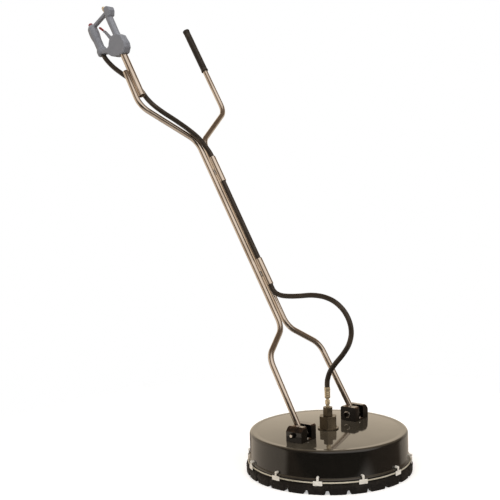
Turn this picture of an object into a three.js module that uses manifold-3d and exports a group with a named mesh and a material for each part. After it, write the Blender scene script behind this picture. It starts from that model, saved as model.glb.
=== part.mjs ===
// A rotary surface cleaner: a round hooded deck with a spinning spray bar under it, a segmented skirt round
// its rim, and a tall handle of two bent stainless tubes that pivots on the deck and carries a trigger gun.
// Millimetres, +Z up. The origin is on the floor, on the deck's axis. The operator stands on the -Y side.
import * as THREE from "three";
import { mergeVertices } from "three/addons/utils/BufferGeometryUtils.js";
import Module from "manifold-3d";

const wasm = await Module();
wasm.setup();

// ---------- driving dimensions ----------
const GAP = 0.3; // clearance kept between touching pieces

const DECK_R = 254; // a 20 inch deck
const DECK_TOP = 129;
const DECK_SHEET = 2.5; // thickness of the pressed hood
const DECK_RIM = 9; // radius of the rolled top edge
const LIP_R = 260;
const LIP_Z = 40.3;
const SPIGOT_R = 24; // the swivel's threaded spigot, which passes through the deck

const SKIRT_R = 268;
const SKIRT_BLOCKS = 26; // rubber blocks, with a gap between each pair
const NOTCH_TOP = 12; // how high the gaps between the skirt blocks reach
const SKIRT_PHASE = THREE.MathUtils.degToRad(5.2);
const BAND_Z = 35; // height of the wire band that holds the skirt
const BAND_WIRE_R = 2.2;
const BAND_R = 260.4;
const CLIPS = 12;
const CLIP_PHASE = THREE.MathUtils.degToRad(-3.3);

const PIVOT_Z = 150; // height of the axis on which the handle tilts
const LEAN = THREE.MathUtils.degToRad(29); // how far the handle leans back from upright
const BRACKET = { x0: 114, x1: 192, y0: -26, y1: 32, top: 175, slot0: 138, slot1: 162, floor: 134.3 };
const PIVOT_BOLT_R = 5;

const TUBE_R = 9.5;
const TUBE_BORE = 8;
const TUBE_BEND = 62; // centreline radius of every bend
const PAIR_X = 15; // half the spacing of the two tubes where they run side by side
const LEG_X = 150;
const HANDS = { right: { knee: 224, top: 214 }, left: { knee: 212, top: 209 } }; // how far out each riser stands
const LEG_TOP = 255; // heights up the handle, from the pivot
const PAIR_START = 340;
const PAIR_END = 1062;
const KNEE = 1197;
const GRIP_START = 1379;
const GRIP_END = 1566;
const GUN_RISER_END = 1337;

const HOSE_R = 8.25;
const HOSE_OFFSET = 19.5; // how far the hose lies in front of the tubes' plane
const GUIDE_R = 11;
const GUIDE_BORE = 9.1;
const GUIDE_LENGTH = 98;
const GUIDES = { lower: 537, upper: 937 };

const GUN_X = 198; // where the gun's two shells meet
const STUB_Y = 5;
const STUB_R = 12;
const BARREL_Y = -79;
const HOSE_TOP = 1464; // where the hose enters the barrel
const GUN_HALF = 15; // half the thickness of the gun's moulding
const TRIGGER_PIVOT = { y: 10, z: 1463 };
const LOCK_PIVOT = { y: -32, z: 1528 };

const ROTOR_REACH = 214;
const ROTOR_Z = 78;

// ---------- materials ----------
const material = (color, roughness, metalness) =>
  new THREE.MeshStandardMaterial({ color, roughness, metalness });
const STEEL = () => material(0xb9b2a8, 0.25, 1);
const DECK_PAINT = () => material(0x1b1b1a, 0.12, 0);
const RUBBER = () => material(0x151312, 0.8, 0);
const BLACK = () => material(0x181614, 0.35, 0);
const BRASS = () => material(0x9a8560, 0.35, 1);
const BRONZE = () => material(0x4b4335, 0.4, 1);
const GUN_GREY = () => material(0x83848a, 0.55, 0);
const RED = () => material(0x7a1f22, 0.45, 0);

// ---------- helpers ----------
const part = new THREE.Group();
const handle = new THREE.Group(); // its +Z runs up the handle and its +Y faces forward
handle.position.z = PIVOT_Z;
handle.rotation.x = LEAN;
part.add(handle);

function add(parent, name, geometry, look) {
  const mesh = new THREE.Mesh(geometry, look);
  mesh.name = name;
  parent.add(mesh);
  return mesh;
}

function solid(geometry) {
  const bare = geometry.clone();
  bare.deleteAttribute("normal");
  bare.deleteAttribute("uv");
  const merged = mergeVertices(bare, 1e-4);
  return new wasm.Manifold(
    new wasm.Mesh({
      numProp: 3,
      vertProperties: merged.attributes.position.array,
      triVerts: new Uint32Array(merged.index.array),
    }),
  );
}

function geometryOf(body) {
  const mesh = body.getMesh();
  const geometry = new THREE.BufferGeometry();
  geometry.setAttribute("position", new THREE.BufferAttribute(mesh.vertProperties, 3));
  geometry.setIndex(new THREE.BufferAttribute(mesh.triVerts, 1));
  return geometry;
}

const cut = (geometry, ...tools) =>
  geometryOf(tools.reduce((body, tool) => body.subtract(solid(tool)), solid(geometry)));
const join = (geometry, ...others) =>
  geometryOf(others.reduce((body, other) => body.add(solid(other)), solid(geometry)));
const common = (geometry, other) => geometryOf(solid(geometry).intersect(solid(other)));

function box(x0, x1, y0, y1, z0, z1) {
  const geometry = new THREE.BoxGeometry(x1 - x0, y1 - y0, z1 - z0);
  return geometry.translate((x0 + x1) / 2, (y0 + y1) / 2, (z0 + z1) / 2);
}

// A round or many-sided bar along Z.
function bar(radius, z0, z1, sides = 24, topRadius = radius) {
  const geometry = new THREE.CylinderGeometry(topRadius, radius, z1 - z0, sides);
  return geometry.rotateX(Math.PI / 2).translate(0, 0, (z0 + z1) / 2);
}

const alongX = (geometry) => geometry.rotateY(Math.PI / 2);

// A turned piece about Z. Its outline, as [radius, height] points, starts and ends on the axis or closes on itself.
function turned(outline, segments = 24) {
  const points = outline.map(([r, z]) => new THREE.Vector2(r, z));
  const area = THREE.ShapeUtils.area(points);
  if (area < 0) points.reverse();
  const onAxis = points.some((p) => p.x === 0);
  if (!onAxis) points.push(points[0].clone());
  const firstAxis = points.findIndex((p, i) => p.x === 0 && points[(i + 1) % points.length].x !== 0);
  const ordered = onAxis ? [...points.slice(firstAxis), ...points.slice(0, firstAxis)] : points;
  return new THREE.LatheGeometry(ordered, segments).rotateX(Math.PI / 2);
}

const ring = (inner, outer, z0, z1, segments = 24) =>
  turned([[inner, z0], [outer, z0], [outer, z1], [inner, z1]], segments);

const arc = (cx, cy, radius, from, to, steps) =>
  Array.from({ length: steps + 1 }, (_, i) => {
    const angle = THREE.MathUtils.degToRad(from + ((to - from) * i) / steps);
    return [cx + radius * Math.cos(angle), cy + radius * Math.sin(angle)];
  });

const circle = (radius, sides) =>
  arc(0, 0, radius, 0, 360, sides)
    .slice(0, sides)
    .map(([x, y]) => new THREE.Vector2(x, y));

// A flat outline in the YZ plane, given as [y, z] points, thickened along X from x0 to x1.
function plate(outline, x0, x1, bevel = 0) {
  const shape = new THREE.Shape(outline.map(([y, z]) => new THREE.Vector2(y, z)));
  const geometry = new THREE.ExtrudeGeometry(shape, {
    depth: x1 - x0 - 2 * bevel,
    bevelEnabled: bevel > 0,
    bevelThickness: bevel,
    bevelSize: bevel,
    bevelOffset: -bevel,
    bevelSegments: 1,
  });
  geometry.translate(0, 0, x0 + bevel);
  const turn = new THREE.Matrix4().set(0, 0, 1, 0, 1, 0, 0, 0, 0, 1, 0, 0, 0, 0, 0, 1);
  return geometry.applyMatrix4(turn);
}

// A path of straight runs with a round bend at each corner. It is sampled by stations, which are close together
// in the bends and far apart in the straight runs.
class BentPath extends THREE.Curve {
  constructor(corners, bend, bendStep = THREE.MathUtils.degToRad(13)) {
    super();
    const at = corners.map((c) => new THREE.Vector3(...c));
    this.stations = [at[0]];
    for (let i = 1; i < at.length - 1; i++) {
      const back = at[i - 1].clone().sub(at[i]).normalize();
      const on = at[i + 1].clone().sub(at[i]).normalize();
      const turn = Math.PI - back.angleTo(on);
      if (turn < 0.02) continue;
      const centre = back.clone().add(on).normalize().multiplyScalar(bend / Math.cos(turn / 2)).add(at[i]);
      const spoke = back.clone().multiplyScalar(bend * Math.tan(turn / 2)).add(at[i]).sub(centre);
      const axis = on.clone().cross(back).normalize();
      const steps = Math.max(2, Math.ceil(turn / bendStep));
      for (let k = 0; k <= steps; k++) {
        this.stations.push(spoke.clone().applyAxisAngle(axis, (turn * k) / steps).add(centre));
      }
    }
    this.stations.push(at[at.length - 1]);
    this.steps = this.stations.length - 1;
  }
  getPoint(t, target = new THREE.Vector3()) {
    const place = t * this.steps;
    const before = Math.min(Math.floor(place + 1e-9), this.steps - 1);
    return target.lerpVectors(this.stations[before], this.stations[before + 1], place - before);
  }
  getPointAt(u, target) {
    return this.getPoint(u, target);
  }
  getTangentAt(u, target = new THREE.Vector3()) {
    const i = Math.round(u * this.steps);
    const before = this.stations[Math.max(0, i - 1)];
    const after = this.stations[Math.min(this.steps, i + 1)];
    return target.subVectors(after, before).normalize();
  }
}

function pipe(path, steps, radius, bore = 0, sides = 12) {
  const section = new THREE.Shape(circle(radius, sides));
  if (bore) section.holes.push(new THREE.Path(circle(bore, Math.max(8, sides - 4))));
  return new THREE.ExtrudeGeometry(section, { steps, extrudePath: path, bevelEnabled: false });
}

const smooth = (points) =>
  new THREE.CatmullRomCurve3(points.map((p) => new THREE.Vector3(...p)), false, "centripetal");

// ---------- deck ----------
const deckOutline = [
  [SPIGOT_R + GAP, DECK_TOP],
  ...arc(DECK_R - DECK_RIM, DECK_TOP - DECK_RIM, DECK_RIM, 90, 0, 4),
  [DECK_R, LIP_Z + 5.5],
  [LIP_R, LIP_Z + 2.5],
  [LIP_R, LIP_Z],
  [LIP_R - DECK_SHEET, LIP_Z],
  [DECK_R - DECK_SHEET, LIP_Z + 6.2],
  ...arc(DECK_R - DECK_RIM, DECK_TOP - DECK_RIM, DECK_RIM - DECK_SHEET, 0, 90, 3),
  [SPIGOT_R + GAP, DECK_TOP - DECK_SHEET],
];
const screwPlaces = [-17, 23].flatMap((y) => [1, -1].map((side) => [side * LEG_X, y]));
const deckHoles = screwPlaces.map(([x, y]) => bar(4.3, DECK_TOP - 9, DECK_TOP + 4, 10).translate(x, y, 0));
add(part, "deck_shell", cut(turned(deckOutline, 60), ...deckHoles), DECK_PAINT());

const plateTop = DECK_TOP - DECK_SHEET - GAP;
add(part, "deck_plate", ring(SPIGOT_R + GAP, 75, plateTop - 5, plateTop, 30), STEEL());

// ---------- skirt, its wire band and the clips that hold it ----------
const skirtOutline = [
  [242, 62],
  [250.7, 62],
  [250.7, LIP_Z - GAP],
  [257.5, LIP_Z - GAP],
  [257.5, BAND_Z - 4],
  [SKIRT_R - 1.5, 24],
  [SKIRT_R, 18],
  [SKIRT_R - 1, 0],
  [248, 0],
];
const notches = Array.from({ length: SKIRT_BLOCKS }, (_, i) => {
  const outline = new THREE.Shape([
    new THREE.Vector2(-7.5, -1),
    new THREE.Vector2(7.5, -1),
    new THREE.Vector2(4.5, NOTCH_TOP),
    new THREE.Vector2(-4.5, NOTCH_TOP),
  ]);
  const notch = new THREE.ExtrudeGeometry(outline, { depth: 40, bevelEnabled: false });
  notch.rotateX(Math.PI / 2).rotateZ(Math.PI / 2).translate(235, 0, 0);
  return notch.rotateZ(SKIRT_PHASE + (i * 2 * Math.PI) / SKIRT_BLOCKS);
});
add(part, "skirt", cut(turned(skirtOutline, 2 * SKIRT_BLOCKS), ...notches), RUBBER());

const bandSection = arc(BAND_R, BAND_Z, BAND_WIRE_R, 0, 300, 5);
add(part, "skirt_band", turned(bandSection, 48), STEEL());

// A clip is a folded plate over the band, with a tab that is riveted to the deck's wall above it.
function clipShape() {
  const inner = BAND_R + BAND_WIRE_R + GAP;
  const face = box(inner, inner + 3, -14, 14, BAND_Z - 8, BAND_Z + 6);
  const tab = box(inner, inner + 3, -3.5, 3.5, BAND_Z + 5, BAND_Z + 18);
  const rivet = bar(4, DECK_R + GAP, inner + 4.2, 10, 3);
  alongX(rivet).translate(0, 0, BAND_Z + 15.5);
  return join(face, tab, rivet);
}
for (let i = 0; i < CLIPS; i++) {
  const clip = add(part, `skirt_clip_${String(i + 1).padStart(2, "0")}`, clipShape(), STEEL());
  clip.rotation.z = CLIP_PHASE + (i * 2 * Math.PI) / CLIPS;
}

// ---------- swivel ----------
const SWIVEL_BASE = DECK_TOP + GAP;
const SWIVEL_SHOULDER = 171;
const SHAFT_R = 10;
const BEARING_R = 20.7;
const swivelBody = cut(
  join(bar(30, SWIVEL_BASE + 3, SWIVEL_SHOULDER, 6), ring(5, 34, SWIVEL_BASE, SWIVEL_BASE + 4), bar(SPIGOT_R, 104, 140)),
  bar(21, 100, 163),
  bar(12, 160, 180),
);
add(part, "swivel_body", swivelBody, BRONZE());
const swivelCap = cut(
  bar(16.7, SWIVEL_SHOULDER + GAP, 199, 6),
  bar(13, 170, 182, 18),
  bar(SHAFT_R + 0.6, 181, 188, 18),
  bar(4, 187, 200, 10),
);
add(part, "swivel_cap", swivelCap, BRONZE());
const nutTop = plateTop - 5 - GAP;
add(part, "swivel_nut", cut(bar(38, nutTop - 7, nutTop, 6), bar(SPIGOT_R + GAP, 100, 130)), STEEL());
add(part, "bearing_upper", ring(SHAFT_R + GAP, BEARING_R, 147, 159), STEEL());
add(part, "bearing_lower", ring(SHAFT_R + GAP, BEARING_R, 106, 118), STEEL());
add(part, "shaft_seal", ring(SHAFT_R + GAP, 12.7, 172, 180, 18), RUBBER());

const fittingOutline = [
  [0, 199 + GAP],
  [6.5, 199 + GAP],
  [6.5, 208],
  [8.6, 209],
  [8.6, 221],
  [5.5, 223],
  [5.5, 228],
  [0, 228],
];
add(part, "hose_fitting_lower", turned(fittingOutline, 6), BRASS());
const ferrule = (z0, z1) => turned([[0, z0], [8, z0], [9.4, z0 + 3], [9.4, z1 - 3], [8.8, z1], [0, z1]], 16);
add(part, "hose_ferrule_lower", ferrule(228 + GAP, 264), BRASS());

// ---------- spinning spray bar ----------
const shaftOutline = [[3, 72], [SHAFT_R, 72], [SHAFT_R, 186], [3, 186]];
add(part, "swivel_shaft", turned(shaftOutline), STEEL());
const armSocket = () => alongX(bar(4, -30, 30, 10)).translate(0, 0, ROTOR_Z);
add(part, "rotor_hub", cut(bar(22, 62, 92, 8), bar(SHAFT_R + GAP, 71.5, 93), armSocket()), STEEL());
function rotorArm() {
  const tube = alongX(bar(8, 22.5, ROTOR_REACH, 14)).translate(0, 0, ROTOR_Z);
  const elbow = bar(10, 52, ROTOR_Z + 10, 14).translate(ROTOR_REACH, 0, 0);
  const tubeBore = alongX(bar(4, 22, ROTOR_REACH, 10)).translate(0, 0, ROTOR_Z);
  const elbowBore = bar(4, 51, ROTOR_Z + 3, 10).translate(ROTOR_REACH, 0, 0);
  return cut(join(tube, elbow), tubeBore, elbowBore);
}
const nozzleOutline = [
  [1.2, 36],
  [4.5, 36],
  [5, 43],
  [8, 44],
  [8, 52 - GAP],
  [1.2, 52 - GAP],
];
for (const [letter, angle] of [["a", 0], ["b", Math.PI]]) {
  add(part, `rotor_arm_${letter}`, rotorArm(), STEEL()).rotation.z = angle;
  const nozzle = turned(nozzleOutline, 12).translate(ROTOR_REACH, 0, 0);
  add(part, `nozzle_${letter}`, nozzle, BRASS()).rotation.z = angle;
}

// ---------- pivot brackets ----------
// The right-hand bracket is on +X. Each is a block with a slot in which the handle's leg swings on a cross bolt.
const sides = [["right", 1], ["left", -1]];

function bracket() {
  const { x0, x1, y0, y1, top, slot0, slot1, floor } = BRACKET;
  const base = DECK_TOP + GAP;
  const outline = [[y0, base], [y1, base], [y1, top - 4], [y1 - 4, top], [y0 + 4, top], [y0, top - 4]];
  const wedge = new THREE.Shape([
    new THREE.Vector2(x1, 160),
    new THREE.Vector2(x1 + 1, 160),
    new THREE.Vector2(x1 + 1, top + 1),
    new THREE.Vector2(x1 - 14, top + 1),
  ]);
  const bevel = new THREE.ExtrudeGeometry(wedge, { depth: 80, bevelEnabled: false });
  bevel.rotateX(Math.PI / 2).translate(0, 50, 0);
  const holes = [-17, 23].map((y) => bar(4.3, base - 1, floor + 1, 10).translate(LEG_X, y, 0));
  return cut(
    plate(outline, x0, x1),
    box(slot0, slot1, y0 - 1, y1 + 1, floor, top + 1),
    alongX(bar(PIVOT_BOLT_R + GAP, x0 - 1, x1 + 1, 12)).translate(0, 0, PIVOT_Z),
    bevel,
    ...holes,
  );
}

function pivotBolt() {
  const inner = BRACKET.x0 - GAP;
  const flange = bar(11, inner - 2, inner, 18);
  const head = bar(8, inner - 8, inner - 1, 18);
  const shank = bar(PIVOT_BOLT_R, inner - 1, BRACKET.x1 + 11, 12);
  const socket = bar(4.6, inner - 9, inner - 4, 6);
  return alongX(cut(join(flange, head, shank), socket)).translate(0, 0, PIVOT_Z);
}

function pivotNut() {
  const outer = BRACKET.x1 + GAP;
  const nut = cut(bar(8.4, outer, outer + 8, 6), bar(PIVOT_BOLT_R + GAP, outer - 1, outer + 9, 12));
  return alongX(nut).translate(0, 0, PIVOT_Z);
}

// Mirrors a right-hand piece to the left side, and turns its faces so that they still point outwards.
function mirrored(geometry) {
  const copy = geometry.index ? geometry.toNonIndexed() : geometry.clone();
  const at = copy.attributes.position;
  for (let i = 0; i < at.count; i += 3) {
    const first = [at.getX(i), at.getY(i), at.getZ(i)];
    at.setXYZ(i, -at.getX(i + 2), at.getY(i + 2), at.getZ(i + 2));
    at.setX(i + 1, -at.getX(i + 1));
    at.setXYZ(i + 2, -first[0], first[1], first[2]);
  }
  return copy;
}
const onSide = (geometry, side) => (side > 0 ? geometry : mirrored(geometry));

for (const [name, side] of sides) {
  add(part, `bracket_${name}`, onSide(bracket(), side), BLACK());
  add(part, `pivot_bolt_${name}`, onSide(pivotBolt(), side), STEEL());
  add(part, `pivot_nut_${name}`, onSide(pivotNut(), side), STEEL());
}
const screwNames = ["right_rear", "left_rear", "right_front", "left_front"];
screwPlaces.forEach(([x, y], i) => {
  const head = bar(6.5, BRACKET.floor + GAP, BRACKET.floor + 4, 12);
  const shank = bar(4, DECK_TOP - 8, BRACKET.floor + 1, 10);
  add(part, `bracket_screw_${screwNames[i]}`, join(head, shank).translate(x, y, 0), STEEL());
});

// ---------- handle tubes ----------
const riserX = (hand, z) => hand.knee + ((hand.top - hand.knee) * (z - KNEE)) / (GRIP_END - KNEE);
function handleTube(hand, end) {
  const path = new BentPath(
    [
      [LEG_X, 0, -12],
      [LEG_X - 9, 0, LEG_TOP],
      [PAIR_X, 0, PAIR_START],
      [PAIR_X, 0, PAIR_END],
      [hand.knee, 0, KNEE],
      [riserX(hand, end), 0, end],
    ],
    TUBE_BEND,
  );
  const crossHole = alongX(bar(PIVOT_BOLT_R + GAP, LEG_X - 20, LEG_X + 20, 12));
  return cut(pipe(path, path.steps, TUBE_R, TUBE_BORE), crossHole);
}
add(handle, "handle_tube_right", handleTube(HANDS.right, GUN_RISER_END), STEEL());
add(handle, "handle_tube_left", onSide(handleTube(HANDS.left, GRIP_END - 6), -1), STEEL());

// The rubber grip lies along the left riser, which leans in a little towards its top.
const gripX = riserX(HANDS.left, GRIP_START);
const gripGroup = new THREE.Group();
gripGroup.position.set(-gripX, 0, GRIP_START);
gripGroup.rotation.y = Math.atan2(gripX - HANDS.left.top, GRIP_END - GRIP_START);
handle.add(gripGroup);
const gripLength = GRIP_END - GRIP_START;
const gripBore = TUBE_R + GAP;
const gripOutline = [
  [gripBore, 0],
  [12.8, 0],
  [13.4, 3],
  [12.4, 7],
  [12.4, gripLength - 8],
  [13.2, gripLength - 4],
  [10, gripLength],
  [0, gripLength],
  [0, gripLength - 5],
  [gripBore, gripLength - 5],
];
add(gripGroup, "grip", turned(gripOutline, 18), RUBBER());

// ---------- hose guides on the tube pair ----------
for (const [name, z] of Object.entries(GUIDES)) {
  const sleeve = ring(GUIDE_BORE, GUIDE_R, z - GUIDE_LENGTH / 2, z + GUIDE_LENGTH / 2, 20);
  add(handle, `hose_guide_${name}`, sleeve.translate(0, HOSE_OFFSET, 0), STEEL());
  const pad = new THREE.Shape();
  pad.absarc(0, 5, 5, 0, Math.PI, false);
  pad.absarc(0, -5, 5, Math.PI, 2 * Math.PI, false);
  const block = new THREE.ExtrudeGeometry(pad, { depth: 14, bevelEnabled: false, curveSegments: 6 });
  block.rotateX(Math.PI / 2).translate(0, HOSE_OFFSET - GUIDE_R - GAP, z);
  add(handle, `guide_tie_${name}`, block, STEEL());
}

// ---------- high-pressure hose ----------
// The run is held along the handle, from the gun to the lower guide. The loop hangs free from there to the swivel.
const runEnd = GUIDES.lower - GUIDE_LENGTH / 2 - 6;
const runPoints = [
  [0, HOSE_OFFSET, runEnd],
  [0, HOSE_OFFSET, 640],
  [0, HOSE_OFFSET, 840],
  [0, HOSE_OFFSET, 960],
  [0, HOSE_OFFSET, 988],
  [1.5, HOSE_OFFSET, 1004],
  [10, 20, 1029],
  [28, 22, 1060],
  [60, 23, 1092],
  [110, 23, 1131],
  [152, 21, 1163],
  [172, 13, 1195],
  [177.5, 3, 1228],
  [177.5, -5, 1262],
  [178, -13, 1293],
  [181, -27, 1326],
  [187, -47, 1364],
  [193, -65, 1403],
  [197, -76, 1438],
  [GUN_X, BARREL_Y, 1455],
  [GUN_X, BARREL_Y, HOSE_TOP - GAP],
];
add(handle, "hose_run", pipe(smooth(runPoints), 46, HOSE_R, 0, 10), RUBBER());

// A point of the handle's frame, as it stands when the handle leans back.
const leant = (y, z) =>
  new THREE.Vector3(0, y, z).applyAxisAngle(new THREE.Vector3(1, 0, 0), LEAN).add(handle.position).toArray();
const loopPoints = [
  leant(HOSE_OFFSET, runEnd - GAP),
  leant(HOSE_OFFSET, runEnd - 8),
  [0, -208, 567],
  [0, -196, 558],
  [0, -176, 552],
  [0, -140, 551],
  [0, -100, 554],
  [0, -50, 559],
  [0, -5, 556],
  [0, 35, 543],
  [0, 69, 517],
  [0, 90, 483],
  [0, 96, 447],
  [0, 86, 410],
  [0, 62, 375],
  [0, 35, 345],
  [0, 12, 315],
  [0, 1.5, 287],
  [0, 0, 274],
  [0, 0, 264 + GAP],
];
add(part, "hose_loop", pipe(smooth(loopPoints), 30, HOSE_R, 0, 10), RUBBER());

const upperFerrule = ferrule(0, 34).rotateX(Math.PI);
add(handle, "hose_ferrule_upper", upperFerrule.translate(GUN_X, BARREL_Y, HOSE_TOP + 34), BRASS());

// ---------- trigger gun ----------
// Outlines are [y, z] in the handle's frame. A grip bar stands in front with a cap on top, the valve barrel stands
// behind it, and the lobe that holds the stub tube joins them below. A thin bar closes the loop above.
const lobeOutline = [
  [24, 1478],
  [37, 1464],
  [41, 1430],
  [36, 1414],
  [20, 1401],
  [-4, 1407],
  [-27, 1417],
  [-38, 1427],
  [-48, 1443],
  [-58, 1455],
  [-74, 1461],
  [-74, 1475],
  [-52, 1469],
  [-43, 1464],
  [-33, 1465],
  [-26, 1471],
  [-18, 1481],
  [-4, 1487],
];
const capOutline = [
  [9, 1553],
  [11, 1583],
  [16, 1591],
  [29, 1590],
  [39, 1580],
  [38, 1567],
  [27, 1551],
];
const topBarOutline = [
  [-70, 1568],
  [-70, 1580],
  [14, 1582],
  [14, 1570],
];
const barrelOutline = [
  [0, 1464],
  [15, 1464],
  [20, 1468],
  [20, 1482],
  [16, 1492],
  [16, 1522],
  [19, 1542],
  [19.5, 1558],
  [18, 1576],
  [11, 1586],
  [0, 1586],
];
const STUB_TOP = 1428;
const INLET = { y: 6, low: 1525, top: 1590 };
const GRIP_BAR = { y: 12.5, radius: 12.5, z0: 1472, z1: 1565 };
const gunThick = (outline, half, bevel) => plate(outline, GUN_X - half, GUN_X + half, bevel);
const gunBlank = () =>
  join(
    gunThick(lobeOutline, GUN_HALF, 4),
    gunThick(capOutline, GUN_HALF - 1, 4),
    gunThick(topBarOutline, GUN_HALF / 2, 2.5),
    turned(barrelOutline, 16).scale(0.85, 1, 1).translate(GUN_X, BARREL_Y, 0),
    bar(GRIP_BAR.radius, GRIP_BAR.z0, GRIP_BAR.z1, 16).translate(GUN_X, GRIP_BAR.y, 0),
  );
const hollow = (radius, y, z0, z1, sides = 14) => bar(radius, z0, z1, sides).translate(GUN_X, y, 0);
const acrossGun = (radius, half, { y, z }) => alongX(bar(radius, GUN_X - half, GUN_X + half, 12)).translate(0, y, z);
const gunHollows = () => [
  hollow(STUB_R + GAP, STUB_Y, 1390, STUB_TOP + 1, 18),
  hollow(5 + GAP, INLET.y, INLET.low - 1, INLET.top + 10),
  hollow(10, BARREL_Y, 1455, 1580, 18),
  hollow(5, BARREL_Y, 1579, 1590),
  box(GUN_X - 5.5, GUN_X + 5.5, -30, 19, 1450, 1490),
  acrossGun(3 + GAP, GUN_HALF - 3, TRIGGER_PIVOT),
];
for (const [name, from, to] of [
  ["outer", GUN_X + GAP / 2, GUN_X + 40],
  ["inner", GUN_X - 40, GUN_X - GAP / 2],
]) {
  const half = common(gunBlank(), box(from, to, -140, 80, 1380, 1640));
  add(handle, `gun_shell_${name}`, cut(half, ...gunHollows()), GUN_GREY());
}

const stub = ring(STUB_R - 1.8, STUB_R, 1236, STUB_TOP, 18).translate(GUN_X, STUB_Y, 0);
add(handle, "gun_stub_tube", stub, STEEL());
const { low: inletLow, top: inletTop } = INLET;
const inletOutline = [
  [2, inletLow],
  [5, inletLow],
  [5, inletTop],
  [6.5, inletTop + 1],
  [6.5, inletTop + 12],
  [2, inletTop + 12],
];
add(handle, "gun_inlet", turned(inletOutline, 14).translate(GUN_X, INLET.y, 0), BRASS());
const valveOutline = [
  [0, 1500],
  [7, 1500],
  [7, 1506],
  [9.6, 1507],
  [9.6, 1560],
  [6, 1562],
  [6, 1579],
  [0, 1579],
];
add(handle, "gun_valve", turned(valveOutline, 16).translate(GUN_X, BARREL_Y, 0), BRASS());
const plugOutline = [
  [0, 1582],
  [4.7, 1582],
  [4.7, 1586 + GAP],
  [8, 1586 + GAP],
  [8, 1592],
  [5, 1595],
  [0, 1595],
];
add(handle, "barrel_plug", turned(plugOutline, 14).translate(GUN_X, BARREL_Y, 0), RED());

// The trigger stands between the two shells on its pin and reaches up along the opening. Its upper end is a fork
// that carries the red lock, a strut which swings out against the grip bar so that the trigger can't be squeezed.
const forkPoint = (along, across) => [
  LOCK_PIVOT.y - 0.447 * along + 0.894 * across,
  LOCK_PIVOT.z + 0.894 * along + 0.447 * across,
];
const triggerOutline = [
  [4, 1457],
  [15, 1457],
  [17, 1465],
  [11, 1472],
  [-6, 1481],
  [-15, 1494],
  forkPoint(0, 3.6),
  forkPoint(4, 2.4),
  forkPoint(4, -2.4),
  forkPoint(0, -3.6),
  [-23, 1488],
  [-14, 1476],
  [2, 1467],
];
const trigger = cut(
  plate(triggerOutline, GUN_X - 5, GUN_X + 5, 1),
  acrossGun(3 + GAP, 8, TRIGGER_PIVOT),
  acrossGun(1.5 + GAP, 8, LOCK_PIVOT),
  acrossGun(5.2, 2.6, LOCK_PIVOT),
);
add(handle, "gun_trigger", trigger, GUN_GREY());
add(handle, "trigger_pin", acrossGun(3, GUN_HALF - 4, TRIGGER_PIVOT), STEEL());

const lockNeck = [forkPoint(-1, 2.4), forkPoint(9, 2.4), forkPoint(9, -2.4), forkPoint(-1, -2.4)];
const lockPaddle = [
  forkPoint(6.5, 2.6),
  forkPoint(28, 3),
  forkPoint(30, 1),
  forkPoint(30, -2),
  forkPoint(28, -3.2),
  forkPoint(6.5, -2.8),
];
const lock = join(
  plate(lockPaddle, GUN_X - 4, GUN_X + 4, 0.8),
  plate(lockNeck, GUN_X - 2.2, GUN_X + 2.2),
  acrossGun(3.6, 2.2, LOCK_PIVOT),
  acrossGun(1.5, 4.6, LOCK_PIVOT),
);
add(handle, "trigger_lock", lock, RED());

export default part;
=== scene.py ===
"""The looks of a rotary surface cleaner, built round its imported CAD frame. Outlines are in millimetres in the
CAD frame's axes (+Z up, -Y towards the operator), and every object is in metres."""

import math

import bmesh
import bpy
import numpy as np
from mathutils import Matrix, Vector


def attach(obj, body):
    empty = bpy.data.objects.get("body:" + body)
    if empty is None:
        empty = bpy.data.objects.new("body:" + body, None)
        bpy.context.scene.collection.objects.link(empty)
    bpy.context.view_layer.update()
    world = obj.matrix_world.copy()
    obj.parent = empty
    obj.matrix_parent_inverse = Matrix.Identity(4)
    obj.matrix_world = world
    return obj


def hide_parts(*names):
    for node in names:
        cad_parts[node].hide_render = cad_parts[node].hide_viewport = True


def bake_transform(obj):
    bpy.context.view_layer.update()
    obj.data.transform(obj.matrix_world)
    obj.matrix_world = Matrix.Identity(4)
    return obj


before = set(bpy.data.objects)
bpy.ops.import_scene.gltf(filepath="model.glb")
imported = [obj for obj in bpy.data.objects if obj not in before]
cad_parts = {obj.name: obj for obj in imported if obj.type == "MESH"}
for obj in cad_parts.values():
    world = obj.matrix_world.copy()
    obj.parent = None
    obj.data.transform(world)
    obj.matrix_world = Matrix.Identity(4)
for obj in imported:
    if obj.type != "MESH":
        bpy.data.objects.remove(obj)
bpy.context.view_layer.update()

MM = 0.001
LEAN = math.radians(29)  # the handle's lean back from upright
HANDLE = Matrix.Translation((0, 0, 0.150)) @ Matrix.Rotation(LEAN, 4, "X")
IDENTITY = Matrix.Identity(4)

# ---------- dimensions, as in the CAD ----------
DECK_R, DECK_TOP, DECK_SHEET, DECK_RIM = 254, 129, 2.5, 9
LIP_R, LIP_Z = 260, 40.3
SPIGOT_HOLE_R = 24.3
SKIRT_BLOCKS, SKIRT_PHASE, NOTCH_TOP = 26, math.radians(5.2), 12
BAND_R, BAND_Z, BAND_WIRE_R = 260.4, 35, 2.2
CLIPS, CLIP_PHASE = 12, math.radians(-3.3)
TUBE_R, TUBE_BORE, TUBE_BEND = 9.5, 8.0, 62
HANDS = {"right": (1, 224, 214, 1337), "left": (-1, 212, 209, 1560)}
KNEE, GRIP_START, GRIP_END = 1197, 1379, 1566
HOSE_R, HOSE_OFFSET = 8.25, 19.5
GUIDE_R, GUIDE_BORE, GUIDE_LENGTH = 11, 9.1, 98
GUIDES = {"lower": 537, "upper": 937}
GUN_X, GUN_HALF, BARREL_Y, STUB_Y = 198, 15, -79, 5
STUB_R, STUB_TOP, STUB_LOW = 12, 1428, 1236
HOSE_TOP = 1464


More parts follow.
